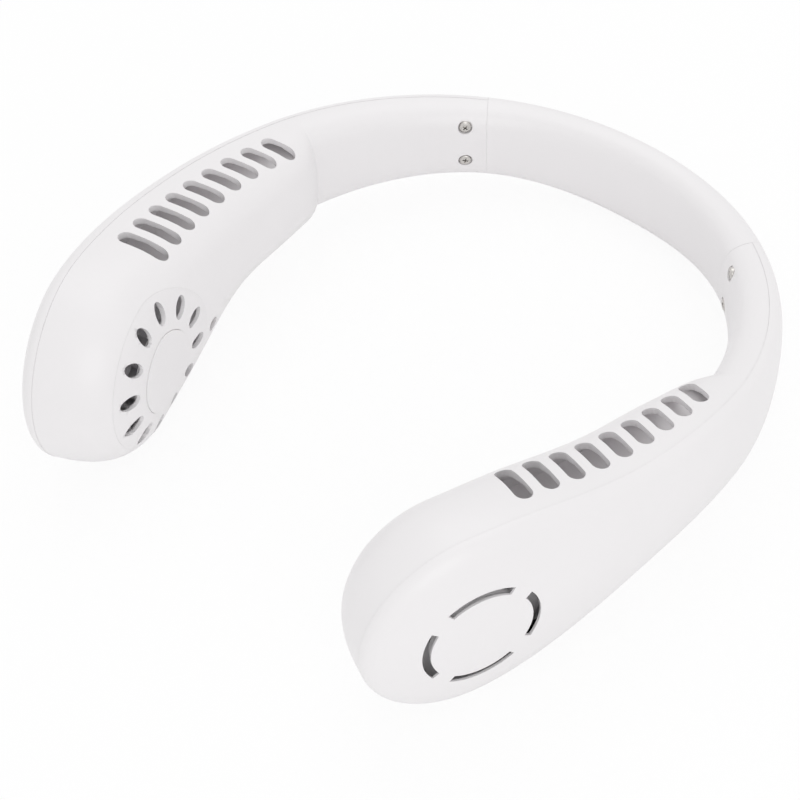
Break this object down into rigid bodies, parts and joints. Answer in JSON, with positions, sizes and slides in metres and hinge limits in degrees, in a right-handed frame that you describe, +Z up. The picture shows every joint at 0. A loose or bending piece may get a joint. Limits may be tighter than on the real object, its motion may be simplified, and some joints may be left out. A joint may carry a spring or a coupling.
{
  "type": "neck fan",
  "caption": "Open-front collar worn round the neck, with a bladeless fan pod at the end of each arm and a row of air slots along the top of each arm.",
  "frame": {"origin": "middle of the fan in plan, at the height of its lowest points, where it rests on a table", "axes": "+Z up; the open front of the collar faces -Y and the nape is toward +Y; +X is the wearer's left, and X = 0 is the mirror plane of the shell"},
  "size_m": [0.192, 0.2132, 0.0646],
  "materials": {
    "white_shell": "gloss",
    "white_trim": "satin",
    "fan_plastic": "satin",
    "dark_plastic": "matte",
    "brass_sleeve": "satin",
    "core_steel": "satin",
    "copper_wire": "gloss",
    "magnet": "matte",
    "screw_steel": "polished",
    "cell_can": "satin",
    "board_laminate": "satin",
    "port_metal": "satin",
    "wire_jacket": "satin"
  },
  "bodies": {
    "frame": {"neck_band": "white_shell", "housing_left": "white_shell", "cover_left": "white_shell", "rosette_left": "white_trim", "rosette_cap_left": "white_trim", "motor_base_left": "dark_plastic", "bearing_left": "brass_sleeve", "stator_left": "core_steel", "windings_left": "copper_wire", "motor_screws_left": "screw_steel", "band_screws_left": "screw_steel", "case_screw_left": "screw_steel", "cell_left": "cell_can", "housing_right": "white_shell", "cover_right": "white_shell", "rosette_right": "white_trim", "rosette_cap_right": "white_trim", "motor_base_right": "dark_plastic", "bearing_right": "brass_sleeve", "stator_right": "core_steel", "windings_right": "copper_wire", "motor_screws_right": "screw_steel", "band_screws_right": "screw_steel", "case_screw_right": "screw_steel", "cell_right": "cell_can", "control_board": "board_laminate", "board_screws": "screw_steel", "charging_port": "port_metal", "power_switch": "dark_plastic", "motor_lead_right": "wire_jacket", "cell_lead_right": "wire_jacket", "motor_cable": "wire_jacket", "cell_cable": "wire_jacket"},
    "fan_left": {"impeller_left": "fan_plastic", "magnet_ring_left": "magnet", "motor_shaft_left": "core_steel"},
    "fan_right": {"impeller_right": "fan_plastic", "magnet_ring_right": "magnet", "motor_shaft_right": "core_steel"},
    "button": {"power_button": "white_trim", "switch_plunger": "dark_plastic"}
  },
  "joints": [
    {"name": "fan_spin_left", "type": "hinge", "parent": "frame", "child": "fan_left", "pos_m": [0.07377, -0.07641, 0.0323], "axis": [0.9304, -0.3665, 0], "continuous": true},
    {"name": "fan_spin_right", "type": "hinge", "parent": "frame", "child": "fan_right", "pos_m": [-0.07377, -0.07641, 0.0323], "axis": [-0.9304, -0.3665, 0], "continuous": true},
    {"name": "button_press", "type": "slide", "parent": "frame", "child": "button", "axis": [0.9999, 0.0128, 0], "range_m": [0, 0.0005], "stiffness_N_per_m": 600}
  ]
}
